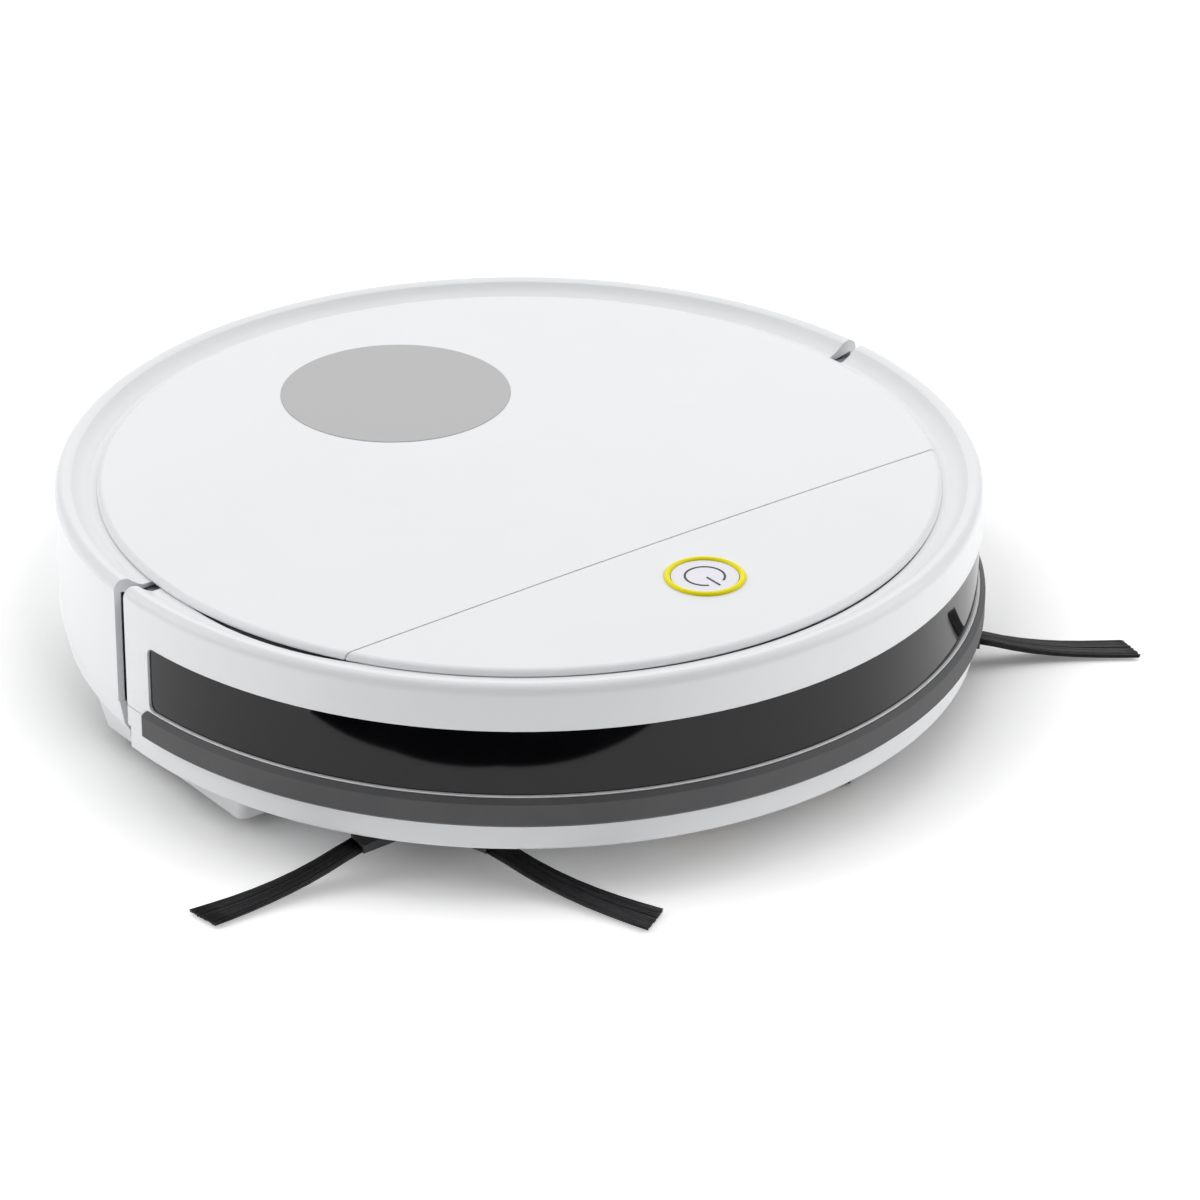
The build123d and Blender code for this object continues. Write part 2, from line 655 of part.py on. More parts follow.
def fan_housing():
    """Round case on the chassis floor, with a square duct from the bin on top."""
    case = tube(FAN_R, FAN_R - 2, (FLOOR_TOP, 50), FAN_X, FAN_Y)
    case += post(FAN_X, FAN_Y, (FLOOR_TOP, FLOOR_TOP + 2), FAN_R)
    case += post(FAN_X, FAN_Y, (48, 50), FAN_R)
    x = (FAN_X - 14, FAN_X + 14)
    duct = block(x, (BIN_HALF + 2.2, FAN_Y + 14), (50, 67))
    duct -= block((x[0] + 2, x[1] - 2), (0, FAN_Y + 12), (52, 65))
    return case + duct - post(FAN_X, FAN_Y, (45, 60), 8)


def fan_motor():
    return post(FAN_X, FAN_Y, (FLOOR_TOP + 2, 33), 12)


def fan_impeller():
    shape = post(FAN_X, FAN_Y, (34, 36), 17) + post(FAN_X, FAN_Y, (33, 44), 5)
    for index in range(9):
        blade = Pos(10.5, 0, 40) * Rot(0, 0, 25) * Box(11, 1.4, 9)
        shape += Pos(FAN_X, FAN_Y, 0) * Rot(0, 0, 40 * index) * blade
    return shape


# ---- power and electronics ----
def battery_pack():
    x0, x1 = BATTERY_X
    return block((x0 + 2.5, x1 - 2.5), (-BATTERY_HALF + 2.5, BATTERY_HALF - 2.5), (FLOOR_TOP, BATTERY_TOP))


def battery_door():
    x0, x1 = BATTERY_X
    half = BATTERY_HALF
    plug = block((x0 + 2.3, x1 - 2.3), (-half + 2.3, half - 2.3), (BASE_Z, FLOOR_TOP))
    plate = block((x0 - 2, x1 + 2), (-half - 2, half + 2), (BASE_Z - 1.2, BASE_Z))
    return plug + plate - door_screw_bodies()


def door_screw_bodies():
    solids = Part()
    for x in (BATTERY_X[0] + 0.2, BATTERY_X[1] - 0.2):
        solids += post(x, 0, (BASE_Z - 1.2, BASE_Z), 2.0)
    return solids


def battery_door_screws():
    screws = []
    for x in (BATTERY_X[0] + 0.2, BATTERY_X[1] - 0.2):
        screws.append(post(x, 0, (BASE_Z - 1.2, BASE_Z), 2.0))
    return screws


def main_board():
    board = block((4, 78), (-56, 56), (58, 59.6))
    for x, y, size, height in ((30, 0, 14, 1.5), (58, 20, 10, 3), (58, -20, 8, 6), (16, 30, 9, 2)):
        board += block((x, x + size), (y, y + size), (59.5, 59.6 + height))
    return board


def charging_contact(side):
    return sided(block((134, 144), (16, 34), (BASE_Z - 0.5, BASE_Z + 0.8)), side)


def cliff_pane(side):
    pane = Pos(132, 58, BASE_Z) * Rot(0, 0, 24) * Box(9, 18, 1.6)
    return sided(pane & block((-BIG, BIG), (-BIG, BIG), (BASE_Z - 0.1, BIG)), side)


SCREW_SPOTS = ((-96.0, 120.0), (-140.0, 40.0), (60.0, 128.0), (128.0, 82.0))


def bumper_switch(side):
    """Small switch on the inner face of the front frame."""
    case = Rot(0, 0, 18) * block((FRAME_R[0] - 9.5, FRAME_R[1]), (-7, 7), (44, 50))
    return sided(case & post(0, 0, (40, 60), FRAME_R[0]), side)


def speaker():
    body = post(66, -77, (FLOOR_TOP, 26), 14)
    return body + post(66, -77, (26, 36), 10)


def screw_holes(side):
    solids = Part()
    for x, y in SCREW_SPOTS:
        solids += post(x, side * y, (BASE_Z - 1, BASE_Z + 1.5), 3.0)
    return solids


def chassis_screws():
    screws = []
    for side in (LEFT, RIGHT):
        for x, y in SCREW_SPOTS:
            head = post(x, side * y, (BASE_Z + 0.3, BASE_Z + 1.5), 3.0)
            slot = block((x - 2, x + 2), (side * y - 0.4, side * y + 0.4), (0, BASE_Z + 0.8))
            cross = block((x - 0.4, x + 0.4), (side * y - 2, side * y + 2), (0, BASE_Z + 0.8))
            screws.append(head - slot - cross)
    return screws


SINGLE = {
    "chassis": chassis,
    "front_frame": front_frame,
    "rear_shell": rear_shell,
    "jack_surround": jack_surround,
    "deck": deck,
    "bumper_shell": bumper_shell,
    "bumper_strip": bumper_strip,
    "sensor_window": sensor_window,
    "lid": lid,
    "lid_disc": lid_disc,
    "lid_hinge_pin": lid_hinge_pin,
    "front_panel": front_panel,
    "power_button": power_button,
    "button_ring": button_ring,
    "tact_switch": tact_switch,
    "caster_fork": caster_fork,
    "caster_wheel": caster_wheel,
    "roller_core": roller_core,
    "roller_blades": roller_blades,
    "roller_motor": roller_motor,
    "brush_guard": brush_guard,
    "dust_bin": dust_bin,
    "dust_bin_cover": dust_bin_cover,
    "dust_bin_handle": bin_handle,
    "filter": filter_block,
    "fan_housing": fan_housing,
    "fan_motor": fan_motor,
    "fan_impeller": fan_impeller,
    "battery_pack": battery_pack,
    "battery_door": battery_door,
    "battery_door_screws": battery_door_screws,
    "main_board": main_board,
    "dc_jack": dc_jack,
    "speaker": speaker,
    "chassis_screws": chassis_screws,
}

PAIRED = {
    "bumper_spring": bumper_spring,
    "wheel_fairing": wheel_fairing,
    "wheel_tyre": tyre,
    "wheel_rim": rim,
    "suspension_arm": suspension_arm,
    "drive_motor": drive_motor,
    "side_brush": side_brush,
    "side_brush_tufts": side_brush_tufts,
    "side_brush_motor": side_brush_motor,
    "charging_contact": charging_contact,
    "bumper_switch": bumper_switch,
    "cliff_window": cliff_pane,
}


def save(shape, name):
    """Write one piece, or a group of separate solids, as its own file."""
    if isinstance(shape, list):
        shape = Compound(children=[solid for item in shape for solid in item.solids()])
    export_step(shape, f"parts/{name}.step")


for node, make in SINGLE.items():
    save(make(), node)
for node, make in PAIRED.items():
    save(make(LEFT), node + "_left")
    save(make(RIGHT), node + "_right")
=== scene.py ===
import json
import math
import random

import bmesh
import bpy
from mathutils import Matrix, Vector


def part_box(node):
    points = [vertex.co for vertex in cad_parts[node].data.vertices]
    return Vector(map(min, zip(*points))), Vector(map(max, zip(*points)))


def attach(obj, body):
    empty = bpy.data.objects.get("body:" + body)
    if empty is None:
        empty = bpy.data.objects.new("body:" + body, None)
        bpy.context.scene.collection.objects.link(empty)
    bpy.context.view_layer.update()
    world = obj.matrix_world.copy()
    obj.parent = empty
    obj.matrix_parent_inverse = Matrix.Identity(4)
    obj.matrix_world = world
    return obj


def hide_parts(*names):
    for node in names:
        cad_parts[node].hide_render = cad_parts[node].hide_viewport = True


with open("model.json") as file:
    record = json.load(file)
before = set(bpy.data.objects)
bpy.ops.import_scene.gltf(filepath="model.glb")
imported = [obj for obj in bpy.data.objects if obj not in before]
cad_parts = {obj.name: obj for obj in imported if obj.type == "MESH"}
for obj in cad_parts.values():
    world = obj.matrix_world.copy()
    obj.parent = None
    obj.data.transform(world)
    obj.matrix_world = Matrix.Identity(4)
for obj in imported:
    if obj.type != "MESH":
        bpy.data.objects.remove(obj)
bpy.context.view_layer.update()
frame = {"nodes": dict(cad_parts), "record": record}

bl_info = {
    "name": "Robotic floor cleaner",
    "version": (1, 0, 0),
    "blender": (4, 5, 0),
    "location": "View3D > Sidebar > Cleaner",
    "description": "Finishes, brushes and small marks of a round floor cleaner",
    "category": "Object",
}

MM = 0.001
SIDES = {"left": 1, "right": -1}
MIX_FIRST, MIX_SECOND, MIX_COLOUR = 6, 7, 2  # colour sockets of a Mix node: two inputs and the output


# ---- measures read from the frame ----
def joint_named(name):
    return next(j for j in frame["record"]["behaviour"]["joints"] if j["name"] == name)


def top_centre(node):
    """Middle of a node's top face."""
    low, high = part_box(node)
    return Vector(((low[0] + high[0]) / 2, (low[1] + high[1]) / 2, high[2]))


def half_width(node):
    low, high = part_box(node)
    return (high[0] - low[0]) / 2


# ---- sizes and colours a user would change ----
class BrushSettings(bpy.types.PropertyGroup):
    bristles: bpy.props.IntProperty(
        name="Bristles", description="Bristles in each tuft", default=360, min=40, max=600
    )
    bristle_radius: bpy.props.FloatProperty(
        name="Bristle radius", description="Half the thickness of one bristle",
        default=0.21 * MM, unit="LENGTH", precision=5,
    )
    tip_spread: bpy.props.FloatProperty(
        name="Tip spread", description="Width of a tuft at its tip",
        default=12.6 * MM, unit="LENGTH", precision=4,
    )
    reach: bpy.props.FloatProperty(
        name="Reach", description="From the brush's axis to the tips of its longest tuft",
        default=90.6 * MM, unit="LENGTH", precision=4,
    )


class FinishSettings(bpy.types.PropertyGroup):
    shell: bpy.props.FloatVectorProperty(
        name="Shell", description="Colour of the outer plastic",
        default=(0.80, 0.81, 0.825), subtype="COLOR", size=3, min=0, max=1,
    )
    window: bpy.props.FloatVectorProperty(
        name="Window", description="Colour of the sensor window",
        default=(0.0022, 0.0022, 0.0030), subtype="COLOR", size=3, min=0, max=1,
    )
    strip: bpy.props.FloatVectorProperty(
        name="Strip", description="Colour of the rubber strip",
        default=(0.078, 0.078, 0.082), subtype="COLOR", size=3, min=0, max=1,
    )
    disc: bpy.props.FloatVectorProperty(
        name="Disc", description="Colour of the plain disc on the lid",
        default=(0.43, 0.43, 0.432), subtype="COLOR", size=3, min=0, max=1,
    )
    ring: bpy.props.FloatVectorProperty(
        name="Ring", description="Colour of the ring round the button",
        default=(0.90, 0.80, 0.001), subtype="COLOR", size=3, min=0, max=1,
    )


# ---- shader groups ----
SPECK_SCALE = 700.0  # gloss specks of moulded plastic, per metre


def new_group(name, inputs, outputs):
    """An empty shader group with float and colour sockets."""
    group = bpy.data.node_groups.new(name, "ShaderNodeTree")
    for label, kind, value in inputs:
        socket = group.interface.new_socket(label, in_out="INPUT", socket_type=kind)
        socket.default_value = value
    for label, kind in outputs:
        group.interface.new_socket(label, in_out="OUTPUT", socket_type=kind)
    return group, group.nodes.new("NodeGroupInput"), group.nodes.new("NodeGroupOutput")


def link(tree, start, end):
    tree.links.new(start, end)


def noise_node(tree, scale, detail=3.0, roughness=0.55):
    node = tree.nodes.new("ShaderNodeTexNoise")
    node.inputs["Scale"].default_value = scale
    node.inputs["Detail"].default_value = detail
    node.inputs["Roughness"].default_value = roughness
    return node


def span_node(tree, low, high, to_low, to_high):
    node = tree.nodes.new("ShaderNodeMapRange")
    for name, value in zip(("From Min", "From Max", "To Min", "To Max"), (low, high, to_low, to_high)):
        node.inputs[name].default_value = value
    return node


def math_node(tree, operation, value=None):
    node = tree.nodes.new("ShaderNodeMath")
    node.operation = operation
    if value is not None:
        node.inputs[1].default_value = value
    return node


def joined_node(tree, operation, *sources):
    """A math node whose inputs are all linked."""
    node = math_node(tree, operation)
    for source, socket in zip(sources, node.inputs):
        link(tree, source, socket)
    return node


def colour_mix(tree):
    node = tree.nodes.new("ShaderNodeMix")
    node.data_type = "RGBA"
    return node


def new_material(name):
    """A material, its node tree and its shader."""
    material = bpy.data.materials.new(name)
    material.use_nodes = True
    return material, material.node_tree, material.node_tree.nodes["Principled BSDF"]


def distance_node(tree, centre):
    """How far each point is from a place in the frame."""
    place = tree.nodes.new("ShaderNodeTexCoord")
    away = tree.nodes.new("ShaderNodeVectorMath")
    away.operation = "DISTANCE"
    away.inputs[1].default_value = centre
    link(tree, place.outputs["Object"], away.inputs[0])
    return away


def moulded_group():
    """Moulded plastic: cloudy colour, spark-eroded grain and slow changes of gloss."""
    inputs = [
        ("Colour", "NodeSocketColor", (0.8, 0.8, 0.8, 1)),
        ("Shade", "NodeSocketFloat", 0.04),
        ("Gloss", "NodeSocketFloat", 0.4),
        ("Gloss Change", "NodeSocketFloat", 0.05),
        ("Grain Scale", "NodeSocketFloat", 2500.0),
        ("Grain", "NodeSocketFloat", 0.5),
        ("Flow Scale", "NodeSocketFloat", 9.0),
    ]
    outputs = [
        ("Colour", "NodeSocketColor"), ("Roughness", "NodeSocketFloat"), ("Height", "NodeSocketFloat")
    ]
    group, start, end = new_group("moulded_plastic", inputs, outputs)
    place = group.nodes.new("ShaderNodeTexCoord")
    flow = noise_node(group, 9.0, 4.0)
    grain = noise_node(group, 2500.0, 2.0, 0.7)
    speck = noise_node(group, SPECK_SCALE, 2.0, 0.6)
    for node in (flow, grain, speck):
        link(group, place.outputs["Object"], node.inputs["Vector"])
    link(group, start.outputs["Flow Scale"], flow.inputs["Scale"])
    link(group, start.outputs["Grain Scale"], grain.inputs["Scale"])
    centred = math_node(group, "SUBTRACT", 0.5)
    link(group, flow.outputs["Fac"], centred.inputs[0])
    shade = joined_node(group, "MULTIPLY", centred.outputs[0], start.outputs["Shade"])
    value = math_node(group, "ADD", 1.0)
    link(group, shade.outputs[0], value.inputs[0])
    tint = group.nodes.new("ShaderNodeHueSaturation")
    link(group, start.outputs["Colour"], tint.inputs["Color"])
    link(group, value.outputs[0], tint.inputs["Value"])
    link(group, tint.outputs["Color"], end.inputs["Colour"])
    speck_centred = math_node(group, "SUBTRACT", 0.5)
    link(group, speck.outputs["Fac"], speck_centred.inputs[0])
    both = joined_node(group, "ADD", centred.outputs[0], speck_centred.outputs[0])
    gloss = joined_node(
        group, "MULTIPLY_ADD", both.outputs[0], start.outputs["Gloss Change"], start.outputs["Gloss"]
    )
    link(group, gloss.outputs[0], end.inputs["Roughness"])
    height = joined_node(group, "MULTIPLY", grain.outputs["Fac"], start.outputs["Grain"])
    link(group, height.outputs[0], end.inputs["Height"])
    return group


def dust_group():
    """Fine dust in soft patches."""
    inputs = [
        ("Colour", "NodeSocketColor", (0.8, 0.8, 0.8, 1)),
        ("Dust Colour", "NodeSocketColor", (0.42, 0.40, 0.37, 1)),
        ("Amount", "NodeSocketFloat", 0.05),
        ("Scale", "NodeSocketFloat", 60.0),
    ]
    outputs = [("Colour", "NodeSocketColor"), ("Mask", "NodeSocketFloat")]
    group, start, end = new_group("settled_dust", inputs, outputs)
    place = group.nodes.new("ShaderNodeTexCoord")
    patches = noise_node(group, 60.0, 6.0, 0.65)
    link(group, place.outputs["Object"], patches.inputs["Vector"])
    link(group, start.outputs["Scale"], patches.inputs["Scale"])
    edge = span_node(group, 0.45, 0.75, 0.0, 1.0)
    link(group, patches.outputs["Fac"], edge.inputs["Value"])
    mask = joined_node(group, "MULTIPLY", edge.outputs[0], start.outputs["Amount"])
    mix = colour_mix(group)
    link(group, mask.outputs[0], mix.inputs["Factor"])
    link(group, start.outputs["Colour"], mix.inputs[MIX_FIRST])
    link(group, start.outputs["Dust Colour"], mix.inputs[MIX_SECOND])
    link(group, mix.outputs[MIX_COLOUR], end.inputs["Colour"])
    link(group, mask.outputs[0], end.inputs["Mask"])
    return group


GROUPS = {}


def group_called(name):
    makers = {"moulded": moulded_group, "dust": dust_group}
    if name not in GROUPS:
        GROUPS[name] = makers[name]()
    return GROUPS[name]


def plastic(name, colour, gloss=0.4, change=0.06, grain=0.5, grain_scale=2500.0, bump=0.02,
            shade=0.05, dust=0.04, coat=0.0, coat_gloss=0.05, edge=0.35, flow=9.0, specular=0.5):
    """One material from the shared moulded and dust groups; the fixed numbers sit on the shader."""
    material, tree, shader = new_material(name)
    body = tree.nodes.new("ShaderNodeGroup")
    body.node_tree = group_called("moulded")
    settings = {"Colour": (*colour, 1), "Shade": shade, "Gloss": gloss, "Gloss Change": change,
                "Grain Scale": grain_scale, "Grain": grain, "Flow Scale": flow}
    for key, value in settings.items():
        body.inputs[key].default_value = value
    soil = tree.nodes.new("ShaderNodeGroup")
    soil.node_tree = group_called("dust")
    soil.inputs["Amount"].default_value = dust
    link(tree, body.outputs["Colour"], soil.inputs["Colour"])
    link(tree, soil.outputs["Colour"], shader.inputs["Base Color"])
    rough = math_node(tree, "MULTIPLY_ADD", 0.6)
    link(tree, soil.outputs["Mask"], rough.inputs[0])
    link(tree, body.outputs["Roughness"], rough.inputs[2])
    link(tree, rough.outputs[0], shader.inputs["Roughness"])
    relief = tree.nodes.new("ShaderNodeBump")
    relief.inputs["Strength"].default_value = bump
    relief.inputs["Distance"].default_value = 0.1 * MM
    link(tree, body.outputs["Height"], relief.inputs["Height"])
    if edge > 0:
        rounding = tree.nodes.new("ShaderNodeBevel")
        rounding.samples = 4
        rounding.inputs["Radius"].default_value = edge * MM
        link(tree, rounding.outputs["Normal"], relief.inputs["Normal"])
    link(tree, relief.outputs["Normal"], shader.inputs["Normal"])
    shader.inputs["Coat Weight"].default_value = coat
    shader.inputs["Coat Roughness"].default_value = coat_gloss
    shader.inputs["Specular IOR Level"].default_value = specular
    return material


def brushed_metal(name, colour, along=(1, 1, 60), gloss=0.3):
    """Machined metal with fine lines along one axis."""
    material, tree, shader = new_material(name)
    place = tree.nodes.new("ShaderNodeTexCoord")
    stretch = tree.nodes.new("ShaderNodeMapping")
    stretch.inputs["Scale"].default_value = along
    lines = noise_node(tree, 120.0, 5.0, 0.7)
    link(tree, place.outputs["Object"], stretch.inputs["Vector"])
    link(tree, stretch.outputs["Vector"], lines.inputs["Vector"])
    rough = span_node(tree, 0.3, 0.7, gloss - 0.08, gloss + 0.12)
    link(tree, lines.outputs["Fac"], rough.inputs["Value"])
    link(tree, rough.outputs[0], shader.inputs["Roughness"])
    tone = colour_mix(tree)
    tone.inputs[MIX_FIRST].default_value = (*[c * 0.8 for c in colour], 1)
    tone.inputs[MIX_SECOND].default_value = (*colour, 1)
    link(tree, lines.outputs["Fac"], tone.inputs["Factor"])
    link(tree, tone.outputs[MIX_COLOUR], shader.inputs["Base Color"])
    relief = tree.nodes.new("ShaderNodeBump")
    relief.inputs["Strength"].default_value = 0.15
    relief.inputs["Distance"].default_value = 0.05 * MM
    link(tree, lines.outputs["Fac"], relief.inputs["Height"])
    link(tree, relief.outputs["Normal"], shader.inputs["Normal"])
    shader.inputs["Metallic"].default_value = 1.0
    return material


def finishes():
    """Every finish of the machine, by its slot in the record."""
    look = bpy.context.scene.cleaner_finish
    return {
        "white_shell": plastic("satin_white", look.shell, gloss=0.34, grain=0.6, bump=0.03, dust=0.02,
                               edge=0.5),
        # Grey of the inner frame; where this grey fills the gaps at the bumper's ends it is painted shade,
        # standing in for the shaded end faces of the white shell.
        "grey_frame": plastic("grey_frame", (0.27, 0.285, 0.30), gloss=0.5, bump=0.08),
        "dark_plastic": plastic("dark_plastic", (0.022, 0.022, 0.024), gloss=0.42, bump=0.08),
        "window_black": plastic("window_black", look.window, gloss=0.05, change=0.02, grain=0.1,
                                bump=0.002, shade=0.1, dust=0.004, edge=0.25, specular=0.33),
        "strip_rubber": plastic("strip_rubber", look.strip, gloss=0.62, grain=0.9, bump=0.12),
        "disc_grey": plastic("disc_grey", look.disc, gloss=0.30, grain=0.3, bump=0.02, dust=0.01),
        "button_white": plastic("button_white", (0.77, 0.765, 0.82), gloss=0.25, bump=0.01),
        "ring_yellow": plastic("ring_yellow", look.ring, gloss=0.35, bump=0.01, dust=0.0, specular=0.25),
        "bristle": plastic("bristle", (0.030, 0.031, 0.034), gloss=0.42, bump=0.02, edge=0),
        "tyre_rubber": plastic("tyre_rubber", (0.025, 0.025, 0.026), gloss=0.7, bump=0.2, dust=0.3),
        "steel": brushed_metal("machined_steel", (0.60, 0.60, 0.61)),
        "zinc": brushed_metal("zinc_plate", (0.55, 0.56, 0.57), (1, 1, 1), 0.35),
        "contact_metal": brushed_metal("contact_metal", (0.86, 0.70, 0.42), (30, 1, 1), 0.22),
        "bin_clear": plastic("bin_smoked", (0.10, 0.11, 0.12), gloss=0.18, bump=0.01, coat=0.4),
        "filter_paper": plastic("filter_paper", (0.72, 0.71, 0.66), gloss=0.85, bump=0.3),
        "board_green": plastic("board_green", (0.02, 0.13, 0.05), gloss=0.35, coat=0.3),
        "battery_wrap": plastic("battery_wrap", (0.03, 0.06, 0.20), gloss=0.3, coat=0.3),
        "roller_blue": plastic("roller_fins", (0.03, 0.06, 0.09), gloss=0.6, bump=0.1, dust=0.12),
    }


FINISH = {}


def finish(slot):
    if not FINISH:
        FINISH.update(finishes())
    return FINISH[slot]


# ---- meshes ----
def object_from(name, bm):
    """Store a bmesh as an object in the scene."""
    mesh = bpy.data.meshes.new(name)
    bm.to_mesh(mesh)
    bm.free()
    stored = bpy.data.objects.new(name, mesh)
    bpy.context.scene.collection.objects.link(stored)
    return stored


def keep_piece(name, bm, body, slot, smooth=True):
    """Store a bmesh as one piece that rides on a body."""
    piece = object_from(name, bm)
    for face in piece.data.polygons:
        face.use_smooth = smooth
    piece.data.materials.append(finish(slot))
    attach(piece, body)
    return piece


def sharpen(piece, degrees):
    """Smooth shading that breaks at corners."""
    piece.data.shade_smooth()
    piece.data.set_sharp_from_angle(angle=math.radians(degrees))


# ---- pieces ----
class CLEANER_OT_cad_finishes(bpy.types.Operator):
    """Give every piece of the frame its own moulded, metal or rubber finish"""

    bl_idname = "cleaner.cad_finishes"
    bl_label = "Finishes"

    def execute(self, context):
        for entry in frame["record"]["subparts"]:
            node = frame["nodes"][entry["node"]]
            node.material_slots[0].material = finish(entry["material_slot"])
        return {"FINISHED"}


ARM_END = 26.0 * MM  # where the bristles leave the hub's arms, from the brush's axis
ROOT_HALF = 3.9 * MM  # half the width of a tuft where it is bound
ROOT_SINK = 2.0 * MM  # how far the bristles start inside the arm
ROOT_THICK, TIP_THIN = 1.15 * MM, 0.55 * MM  # half thickness at the root, and how much of it is lost
TIP_HEIGHT, ROOT_LIFT = 1.7 * MM, 10.3 * MM  # height of a tuft's middle at the tip, and rise to the root
FLOOR_CLEAR = 0.95 * MM
BRISTLE_STEPS = 8
TUFTS = {  # turn of each tuft in degrees, how much shorter it is, its sweep, the slant of its tip
    "right": ((23.0, 1.9, -0.5, 1.4), (143.0, 3.0, 0.0, 3.2), (263.5, 4.6, 2.0, 3.2)),
    "left": ((64.5, 4.4, -6.0, 3.2), (182.0, 3.0, 0.0, 3.2), (302.0, 3.0, 0.0, 3.2)),
}


def brush_axis(side):
    place = joint_named(f"side_brush_{side}_spin")["pos_m"]
    return Vector((place[0], place[1], 0))


def tuft_height(distance, reach):
    """Height of a tuft's middle: it leaves the arm steeply and flattens out along the floor."""
    part = min(max((distance - ARM_END) / (reach - ARM_END), 0.0), 1.0)
    return TIP_HEIGHT + ROOT_LIFT * (1 - part) ** 2.6


def add_bristle(bm, path, radius):
    """A thin three-sided tube along a path, closed at its tip."""
    rings = []
    for index, point in enumerate(path):
        ahead = path[min(index + 1, len(path) - 1)]
        back = path[max(index - 1, 0)]
        along = (ahead - back).normalized()
        across = along.cross(Vector((0, 0, 1))).normalized()
        over = across.cross(along)
        taper = radius * (1.0 if index < len(path) - 1 else 0.6)
        corners = []
        for corner in range(3):
            turn = 2 * math.pi * corner / 3
            corners.append(bm.verts.new(point + taper * (math.cos(turn) * across + math.sin(turn) * over)))
        rings.append(corners)
    for first, second in zip(rings, rings[1:]):
        for corner in range(3):
            after = (corner + 1) % 3
            bm.faces.new((first[corner], first[after], second[after], second[corner]))
    bm.faces.new(list(reversed(rings[0])))
    bm.faces.new(rings[-1])


def bristle_finish(side, hub, reach):
    """Nylon that is near black by the hub and greyer further out towards its tips."""
    material = finish("bristle").copy()
    material.name = f"bristle_{side}"
    tree = material.node_tree
    shader = tree.nodes["Principled BSDF"]
    soil = shader.inputs["Base Color"].links[0].from_node
    away = distance_node(tree, hub)
    place = away.inputs[0].links[0].from_node
    fade = span_node(tree, ARM_END, reach * 0.72, 0.0, 1.0)
    link(tree, away.outputs["Value"], fade.inputs["Value"])
    strands = noise_node(tree, 900.0, 3.0, 0.6)
    link(tree, place.outputs["Object"], strands.inputs["Vector"])
    tone = span_node(tree, 0.3, 0.7, 0.5, 1.5)
    link(tree, strands.outputs["Fac"], tone.inputs["Value"])
    both = joined_node(tree, "MULTIPLY", fade.outputs[0], tone.outputs[0])
    mix = colour_mix(tree)
    mix.inputs[MIX_FIRST].default_value = (0.004, 0.004, 0.005, 1)
    link(tree, both.outputs[0], mix.inputs["Factor"])
    link(tree, soil.outputs["Colour"], mix.inputs[MIX_SECOND])
    link(tree, mix.outputs[MIX_COLOUR], shader.inputs["Base Color"])
    return material


class CLEANER_OT_brush_tufts(bpy.types.Operator):
    """Make the bristles of both side brushes"""

    bl_idname = "cleaner.brush_tufts"
    bl_label = "Side brush bristles"

    def execute(self, context):
        sizes = context.scene.cleaner_brush
        for side in SIDES:
            draw = random.Random(7 + SIDES[side])
            hub = brush_axis(side)
            bm = bmesh.new()
            for turn, short, sweep, slant in TUFTS[side]:
                longest = sizes.reach - short * MM
                for _ in range(sizes.bristles):
                    wide = draw.uniform(-1, 1)
                    tall = draw.uniform(-1, 1)
                    length = longest - draw.uniform(0, 0.8) * MM - slant * MM * (wide + 1) / 2
                    bend = draw.uniform(-0.4, 0.4) * MM
                    path = []
                    for step in range(BRISTLE_STEPS + 1):
                        part = step / BRISTLE_STEPS
                        distance = (ARM_END - ROOT_SINK) + (length - ARM_END + ROOT_SINK) * part
                        half = ROOT_HALF + (sizes.tip_spread / 2 - ROOT_HALF) * part**1.6
                        thick = ROOT_THICK - TIP_THIN * part
                        angle = math.radians(turn + sweep * (part - 1))
                        ahead = Vector((math.cos(angle), math.sin(angle), 0))
                        across = Vector((-math.sin(angle), math.cos(angle), 0))
                        point = hub + ahead * distance + across * (wide * half + bend * part * part)
                        point.z = tuft_height(distance, longest) + tall * thick
                        point.z = max(point.z, FLOOR_CLEAR + sizes.bristle_radius)
                        path.append(point)
                    add_bristle(bm, path, sizes.bristle_radius)
            bmesh.ops.recalc_face_normals(bm, faces=bm.faces)
            piece = keep_piece(f"bristles_{side}", bm, f"side_brush_{side}", "bristle")
            piece.data.materials[0] = bristle_finish(side, hub, sizes.reach)
            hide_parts(f"side_brush_tufts_{side}")
        return {"FINISHED"}


SIGN_THICK = 0.1 * MM
SIGN_LIFT = 0.02 * MM  # clear of the button's face
SIGN_OUTER, SIGN_INNER = 7.15 * MM, 6.45 * MM
SIGN_GAP = math.radians(27)  # half of the ring's opening
BAR_LENGTH, BAR_MIDDLE = 7.3 * MM, 4.65 * MM
ROUND_STEPS = 12
RING_CLEAR = 0.15 * MM  # between the button and its ring
RING_RISE = 0.4 * MM  # crown of the rounded ring over the plain one


def flat_ring(bm, centre, outer, inner, start, end, steps=48):
    """A flat strip between two radii, from one angle to another, as a thin solid."""
    profile = [
        bm.verts.new(centre + Vector((radius * math.cos(start), radius * math.sin(start), height)))
        for radius, height in ((inner, 0), (outer, 0), (outer, SIGN_THICK), (inner, SIGN_THICK))
    ]
    edges = [bm.edges.new((profile[i], profile[(i + 1) % 4])) for i in range(4)]
    bm.faces.new(profile)
    spun = bmesh.ops.spin(bm, geom=edges, cent=centre, axis=(0, 0, 1), dvec=(0, 0, 0),
                          angle=end - start, steps=steps, use_merge=False, use_duplicate=False)
    last = [v for v in spun["geom_last"] if isinstance(v, bmesh.types.BMVert)]
    bm.faces.new(last)


